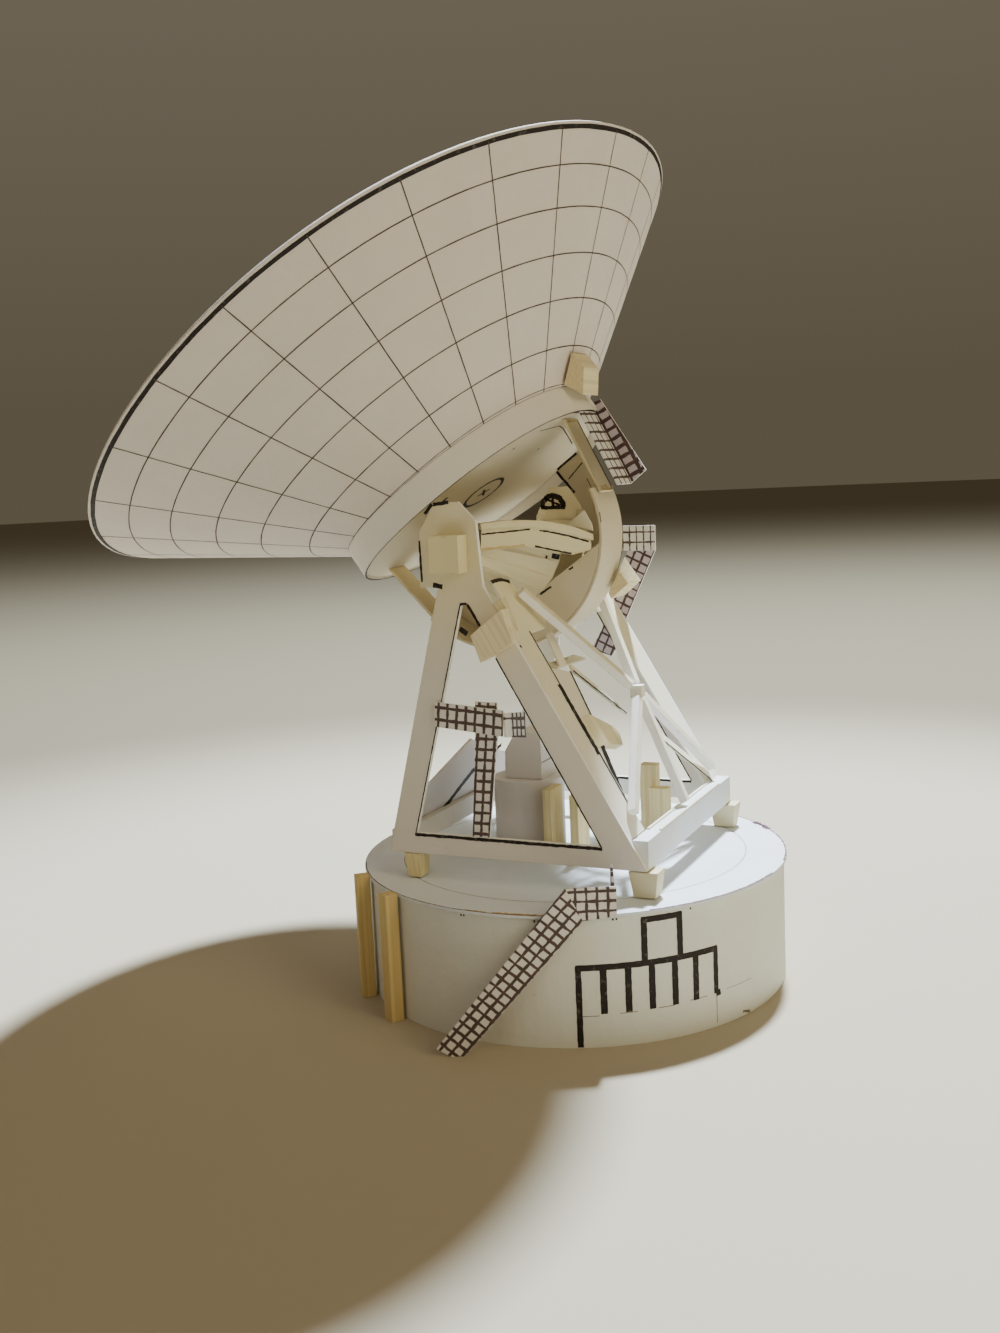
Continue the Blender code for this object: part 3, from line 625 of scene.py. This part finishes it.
def print_pedestal():
    """Prints on the drum, as (angle, height), and on the roof, as (angle, radius)."""
    black = ink("ink_pedestal", faded=0.2)
    faint = ink("ink_pedestal_faint", (0.16, 0.12, 0.10), 0.5)
    top = GARAGE_TOP
    bars = [([(a, 6.3), (a, top)], 1.25) for a in (28.2, 34.3, 40.3, 46.4, 52.3)]
    frame_strokes = [
        ([(22.2, 0.2), (22.2, top + 0.35)], 1.1), ([(21.6, top), (59.0, top + 0.1)], 1.15),
        ([(58.5, 6.5), (58.5, top + 0.4)], 1.1), ([(58.4, 6.4), (59.9, 6.6)], 1.2),
        ([(38.6, top), (38.6, 23.4)], 1.2), ([(48.0, top), (48.0, 23.5)], 1.2),
        ([(37.9, 23.1), (48.7, 23.1)], 1.15),
    ]
    draw("garage_print", "base", on_drum, bars + frame_strokes, black, 0.07)
    ticks = [((22.6, 27.0), 6.0), ((32.0, 36.4), 6.2), ((41.8, 46.0), 6.3), ((50.5, 55.6), 6.5)]
    lines = [([(a, z), (b, z)], 0.14) for (a, b), z in ticks]
    lines += [([(58.6, 0.8), (58.6, 6.0)], 0.16), ([(62.0, 6.7), (72.0, 6.6)], 0.10),
              ([(68.0, 1.0), (71.0, 0.3)], 0.5)]
    draw("garage_line_print", "base", on_drum, lines, faint, 0.3)
    draw("track_print", "base", on_roof, [(ring(TRACK_RADIUS), 0.16)], faint, 0.3, step=9.0)
    runs = ((-62.0, 60, 0.22), (40.0, 30, 0.45), (95.0, 44, 0.3), (127.0, 7, 1.3))
    edge = [([(start + 1.5 * k, ROOF_EDGE_RADIUS) for k in range(count)], width)
            for start, count, width in runs]
    draw("roof_edge_print", "base", on_roof, edge,
         ink("ink_roof_edge", (0.09, 0.05, 0.06), 0.75), 0.5)
    dots = [([(a - 0.22, 23.75), (a + 0.22, 23.75)], 0.38)
            for a in (-7.1, -6.3, 12.2, 13.2, 31.0, 31.9, 51.2)]
    draw("roof_dot_print", "base", on_drum, dots, black, 0.1)
    glue = ink("ink_roof_glue", (0.34, 0.22, 0.06), 0.75)
    draw("roof_glue_stain", "base", on_roof, [
        ([(-6.0 + 1.0 * k, 42.7) for k in range(7)], 0.35),
        ([(1.5 + 1.0 * k, 42.6) for k in range(14)], 0.7),
        ([(27.0 + 1.0 * k, 42.75) for k in range(5)], 0.4)], glue, 0.7, step=0.5)


def print_frames():
    """Prints on the side frames as (y, z), and on the front face and rear panel as (x, z)."""
    black = ink("ink_frames", faded=0.3)
    near = plane(X * FRAME_X, Y, Z)
    low_left, low_right, high_right, high_left = (
        (-21.4, 34.3), (16.9, 34.3), (-8.0, 78.9), (-9.3, 78.7))
    draw("near_frame_print", "alidade", near, [
        ([(low_left[0] - 0.1, 34.1), (high_left[0] - 0.12, 78.9)], 0.26),
        ([(low_left[0] - 0.3, 33.95), (low_right[0] + 0.3, 33.95)], 0.62),
        ([(low_right[0] + 0.2, 34.2), (-2.6, 69.0)], 0.30),
        ([(high_left[0] - 0.2, 79.05), (high_right[0], 79.05)], 0.45),
        ([(high_right[0] + 0.1, 79.0), (-5.5, 74.9)], 0.55),
        ([(-14.0, 97.6), (-10.8, 98.0)], 0.7), ([(-15.9, 96.0), (-14.2, 97.7)], 0.6),
        ([(-17.3, 91.0), (-17.2, 83.2)], 0.45), ([(-14.9, 82.6), (-12.9, 82.3)], 1.0),
    ], black, 0.25)
    draw("near_frame_corner_print", "alidade", plane(X * (FRAME_X - FRAME_DEPTH), Y, Z),
         [([(-10.2, 74.3), (-8.7, 73.3)], 1.0)], black, 0.1)
    far = plane(X * (FRAME_DEPTH - FRAME_X), Y, Z)
    draw("far_frame_print", "alidade", far, [
        ([(-21.4, 34.0), (17.0, 34.0)], 0.5), ([(17.1, 34.2), (-8.0, 79.1)], 0.3),
        (circle((-13.1, 94.6), 2.5, 24, 0.0, 180.0), 1.2),
        ([(-16.0, 94.5), (-10.2, 94.5)], 0.8), ([(-13.1, 94.5), (-13.1, 97.2)], 0.7),
        ([(-15.0, 96.6), (-11.3, 94.9)], 0.5),
    ], black, 0.2)
    draw("front_leg_print", "alidade", on_front(), [
        ([(19.9, 73.0), (19.9, 62.0)], 0.45), ([(20.35, 63.0), (20.4, 49.9)], 1.5),
        ([(20.1, 50.2), (20.25, 39.5)], 0.6), ([(23.7, 82.7), (19.2, 82.8)], 0.75),
        ([(19.3, 82.8), (16.2, 82.0)], 0.75), ([(26.4, 71.1), (27.0, 70.9)], 0.55),
    ], black, 0.2)
    rise = Vector((0.0, REAR_SLOPE, 1.0))
    rear_y = REAR_FOOT[0] + REAR_CARD - REAR_FOOT[1] * REAR_SLOPE
    draw("rear_panel_print", "alidade", plane(Y * rear_y, X, rise, True), [
        ([(13.4, 31.1), (-3.5, 39.35), (-4.8, 39.7)], 1.3),
        ([(-4.8, 39.7), (-17.1, 42.6)], 1.0),
    ], black, 0.15)
    draw("hood_print", "alidade", plane(Y * HOOD_FRONT_Y, X, Z, True),
         [([(-3.9, 43.8), (3.9, 43.8)], 0.3)], ink("ink_hood", (0.14, 0.11, 0.11), 0.4), 0.14)


def print_dish_back():
    """Prints and stains on the collar's back plate, as (u, v), and on its rear edge."""
    black = ink("ink_dish_back", faded=0.3)
    brown = ink("ink_stain", (0.16, 0.09, 0.03), 0.6)
    back = plane(local(0.0, 0.0, BACK_PLATE_AXIAL), X, V_DIR, True)
    draw("back_plate_print", "dish", back, [
        (circle((0.0, 0.5), 26.6, 72, 50.0, 75.0), 0.35),
        (circle((0.2, 1.2), 4.7), 0.8), ([(-1.3, 0.2), (1.7, 2.2)], 0.65),
        ([(1.2, 0.0), (-0.8, 2.4)], 0.65),
        ([(7.9, 21.3), (1.2, 22.9), (-1.7, 22.3), (-17.1, 17.1)], 0.3),
        ([(15.9, -4.6), (15.6, 0.6)], 0.9),
    ], black, 0.2)
    draw("back_plate_stain", "dish", back, [
        ([(10.9, 15.5), (10.4, 16.0)], 0.5), ([(-1.5, 15.3), (-2.1, 15.7)], 0.45),
    ], brown, 0.4, step=0.2)
    rim_line = [(10.0 * k, COLLAR_RADIUS) for k in range(37)]

    def on_collar_rear(angle_deg, radius):
        angle = math.radians(angle_deg)
        axial = BACK["axial"] + wave(BACK["axial_waves"], angle) - COLLAR_DEPTH
        outward = X * math.cos(angle) + V_DIR * math.sin(angle)
        return local(0.0, CONE_CENTRE_V, axial) + outward * (radius - 0.25), -N_DIR

    draw("collar_rear_print", "dish", on_collar_rear, [(rim_line, 0.42)], black, 0.25, step=1.5)


def print_wheel():
    """Pen marks, glue and dark lines on the elevation wheel, its webs, bars, near arm and near
    trunnion.

    Strokes on the webs are (y, z), and the others follow their surface's own coordinates.
    """
    black = ink("ink_wheel", faded=0.35)
    brown = ink("ink_wheel_glue", (0.38, 0.28, 0.13), 0.5)
    draw("far_web_print", "dish", plane(X * FAR_WEB_X, Y, Z), [
        ([(-2.9, 102.5), (0.9, 98.1)], 0.55), ([(-2.7, 102.9), (1.6, 106.0)], 0.45),
        ([(-0.3, 100.9), (2.8, 104.1)], 0.25), ([(4.7, 101.5), (5.8, 99.6)], 0.45),
    ], black, 0.2)
    draw("near_web_print", "dish", plane(X * NEAR_WEB_X, Y, Z), [
        ([(3.7, 83.4), (4.6, 83.9)], 0.4), ([(-2.7, 78.6), (-0.2, 80.1)], 0.4),
    ], black, 0.3)
    draw("wheel_rim_print", "dish", on_wheel, [
        ([(5.7, -6.5), (5.7, -11.5)], 0.5), ([(5.75, -24.0), (5.75, -29.0)], 0.45),
        ([(-5.8, -13.0 - 4.0 * k) for k in range(14)], 0.22),
    ], black, 0.35)
    bar_run = V_DIR * 2.35 + N_DIR * 15.75
    bar = plane(local(0.0, 22.95, -5.8), X, bar_run.normalized(), True)
    # A dark line along the bar's outer edge.
    draw("bar_edge_print", "dish", bar, [([(-2.95, 0.1), (-2.95, 15.8)], 0.5)], black, 0.2)
    draw("bar_glue_stain", "dish", bar, [
        ([(-2.6, 0.35), (2.9, 0.3)], 0.6), ([(-1.0, 1.0), (2.6, 0.9)], 0.5),
        ([(2.5, 15.3), (-1.9, 15.4)], 0.5)], brown, 0.5)
    draw("near_arm_print", "dish", on_arm, [
        ([(0.4, 91.8), (5.4, 91.95), (10.6, 92.15)], 0.32),
        ([(12.6, 91.75), (14.2, 91.5), (18.9, 90.35), (23.3, 88.95)], 0.32),
        ([(11.5, 88.85), (13.0, 88.5), (17.3, 87.4), (19.4, 86.95)], 0.34),
    ], black, 0.35)
    draw("near_arm_glue", "dish", on_arm, [([(0.3, 89.0), (4.6, 89.1), (9.3, 89.2)], 0.45)],
         brown, 0.4)
    draw("trunnion_print", "dish", on_trunnion, [
        ([(0.75, 0.9), (0.75, 0.99)], 1.0), ([(0.9, 0.83), (0.9, 0.85)], 0.7)], black, 0.15)
    # Thin brown lines along the near trunnion's folds.
    creases = [([(fold, 0.15), (fold, 0.97)], 0.14) for fold in (1.0, 2.0, 3.0, 4.0, 5.0)]
    draw("trunnion_crease_print", "dish", on_trunnion, creases,
         ink("crease_lines_brown", (0.44, 0.35, 0.22), 0.6), 0.3)


def add_trims():
    """Small card strips of the front face and the near arm."""
    trim = card("card_trim", (0.86, 0.81, 0.64), stains=0.6)
    black = ink("ink_trim", faded=0.2)
    web = [(19.5, 66.5), (11.1, 64.3), (13.0, 56.0), (15.2, 49.7), (19.1, 39.1), (19.5, 38.9)]
    trim_sheet("leg_web_trim", web, -1.0, trim)
    strip = [(9.8, 64.2), (-3.0, 53.5), (-2.0, 56.0), (9.0, 66.0)]
    trim_sheet("hub_strip_trim", strip, -1.2, trim)
    lower = [(-9.9, 46.1), (-25.3, 32.6), (-26.2, 34.8), (-10.4, 48.3)]
    trim_sheet("far_strip_trim", lower, 0.2, trim)
    bracket = [(11.6, 0.4, 71.2), (8.3, 0.3, 71.4), (10.3, 4.0, 65.0), (13.7, 4.0, 65.1)]
    sheet("shelf_bracket_trim", "alidade", bracket, FRONT_OUT, TRIM_CARD, trim)
    shelf = [(-1.0, 1.2, 65.2), (14.0, 0.8, 65.4), (15.5, 4.2, 65.0), (1.0, 4.6, 64.8)]
    sheet("shelf_trim", "alidade", shelf, Z, 0.4, trim)
    draw("trim_print", "alidade", on_front(-0.62), [
        ([(11.2, 64.4), (13.1, 56.0)], 0.6), ([(13.1, 56.4), (14.9, 51.5)], 0.7),
        ([(15.7, 51.4), (20.1, 39.5)], 1.7),
        ([(9.8, 64.3), (-2.9, 53.7)], 0.5)], black, 0.15)
    draw("far_strip_print", "alidade", on_front(0.56), [
        ([(-9.9, 46.3), (-25.3, 32.8)], 0.5)], black, 0.15)
    for label, low_y, high_y in (("front", 25.2, 25.7), ("rear", 22.75, 23.3)):
        edge = [(-19.3, low_y, BEAM_TOP), (19.3, low_y, BEAM_TOP),
                (19.3, high_y, BEAM_TOP), (-19.3, high_y, BEAM_TOP)]
        sheet("beam_edge_%s_trim" % label, "alidade", edge, Z, TRIM_CARD, trim)
    flap = [(7.0, 4.6, 92.8), (7.0, 7.8, 95.0), (7.0, 9.3, 92.4), (7.0, 9.5, 91.0),
            (7.0, 4.6, 92.2)]
    sheet("arm_flap_trim", "dish", flap, X, 0.3, trim)
    draw("shelf_print", "alidade", plane(Z * SHELF_TOP, X, Y), [
        ([(2.0 + 3.0 * k, 2.2), (2.9 + 3.0 * k, 2.3)], 0.5) for k in range(4)], black, 0.2)


# Stage, lights and camera

def add_floor():
    """A pale floor whose far part takes the backdrop's tone."""
    n = Nodes("floor_plain")
    distance = n.add("ShaderNodeVectorMath", {0: n.place}, operation="LENGTH").outputs["Value"]
    pale = n.mix(n.noise(3.0, 2.0), *FLOOR_TONES)
    tone = n.mix(n.band(distance, *FLOOR_FADE), pale, FLOOR_FAR_TONE)
    material = n.finish(tone, 0.9, [(n.noise(60.0, 2.0), 0.1)])
    bm = bmesh.new()
    bmesh.ops.create_circle(bm, cap_ends=True, segments=96, radius=FLOOR_RADIUS)
    mesh_object("stage_floor", bm, material, None)


def add_light(name, direction, distance, size, watts, colour):
    data = bpy.data.lights.new(name, "AREA")
    data.shape = "DISK"
    data.size = size
    data.energy = watts
    data.color = colour
    light = bpy.data.objects.new(name, data)
    light.location = LIGHT_AIM + Vector(direction).normalized() * distance
    light.rotation_euler = (light.location - LIGHT_AIM).to_track_quat("Z", "Y").to_euler()
    bpy.context.scene.collection.objects.link(light)


def add_lights():
    """A dim warm world that brightens overhead, a small hard key and two soft fills."""
    world = bpy.data.worlds.new("studio")
    bpy.context.scene.world = world
    world.use_nodes = True
    nodes, links = world.node_tree.nodes, world.node_tree.links
    background = nodes["Background"]
    background.inputs["Strength"].default_value = WORLD_STRENGTH
    place = nodes.new("ShaderNodeTexCoord")
    parts = nodes.new("ShaderNodeSeparateXYZ")
    ramp = nodes.new("ShaderNodeValToRGB")
    for element, (height, tone) in zip(ramp.color_ramp.elements, WORLD_TONES):
        element.position = height
        element.color = tone
    links.new(place.outputs["Generated"], parts.inputs["Vector"])
    links.new(parts.outputs["Z"], ramp.inputs["Fac"])
    links.new(ramp.outputs["Color"], background.inputs["Color"])
    for lamp in LIGHTS:
        add_light(*lamp)


def add_camera():
    """The camera at the photo's place and angle."""
    forward = Vector((-math.cos(CAMERA_YAW) * math.cos(CAMERA_PITCH),
                      -math.sin(CAMERA_YAW) * math.cos(CAMERA_PITCH),
                      -math.sin(CAMERA_PITCH)))
    level = Vector((-math.sin(CAMERA_YAW), math.cos(CAMERA_YAW), 0.0))
    upright = level.cross(forward)
    right = level * math.cos(CAMERA_ROLL) + upright * math.sin(CAMERA_ROLL)
    up = level * -math.sin(CAMERA_ROLL) + upright * math.cos(CAMERA_ROLL)
    data = bpy.data.cameras.new("photo_camera")
    data.sensor_fit = "HORIZONTAL"
    data.sensor_width = CAMERA_SENSOR
    data.lens = CAMERA_LENS
    data.clip_start, data.clip_end = CAMERA_CLIP
    camera = bpy.data.objects.new("photo_camera", data)
    turn = Matrix((right, up, -forward)).transposed().to_4x4()
    camera.matrix_world = Matrix.Translation(CAMERA_PLACE * MM) @ turn
    bpy.context.scene.collection.objects.link(camera)
    bpy.context.scene.camera = camera


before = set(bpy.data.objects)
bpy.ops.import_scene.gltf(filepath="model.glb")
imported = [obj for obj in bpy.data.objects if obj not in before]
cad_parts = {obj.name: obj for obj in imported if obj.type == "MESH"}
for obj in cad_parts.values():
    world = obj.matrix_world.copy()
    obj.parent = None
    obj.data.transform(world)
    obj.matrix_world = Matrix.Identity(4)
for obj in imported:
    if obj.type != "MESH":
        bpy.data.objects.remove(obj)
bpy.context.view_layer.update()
add_camera()
dress_cad()
dress_wood()
dress_rulings()
print_cone()
print_pedestal()
print_frames()
print_dish_back()
print_wheel()
add_trims()
add_floor()
add_lights()
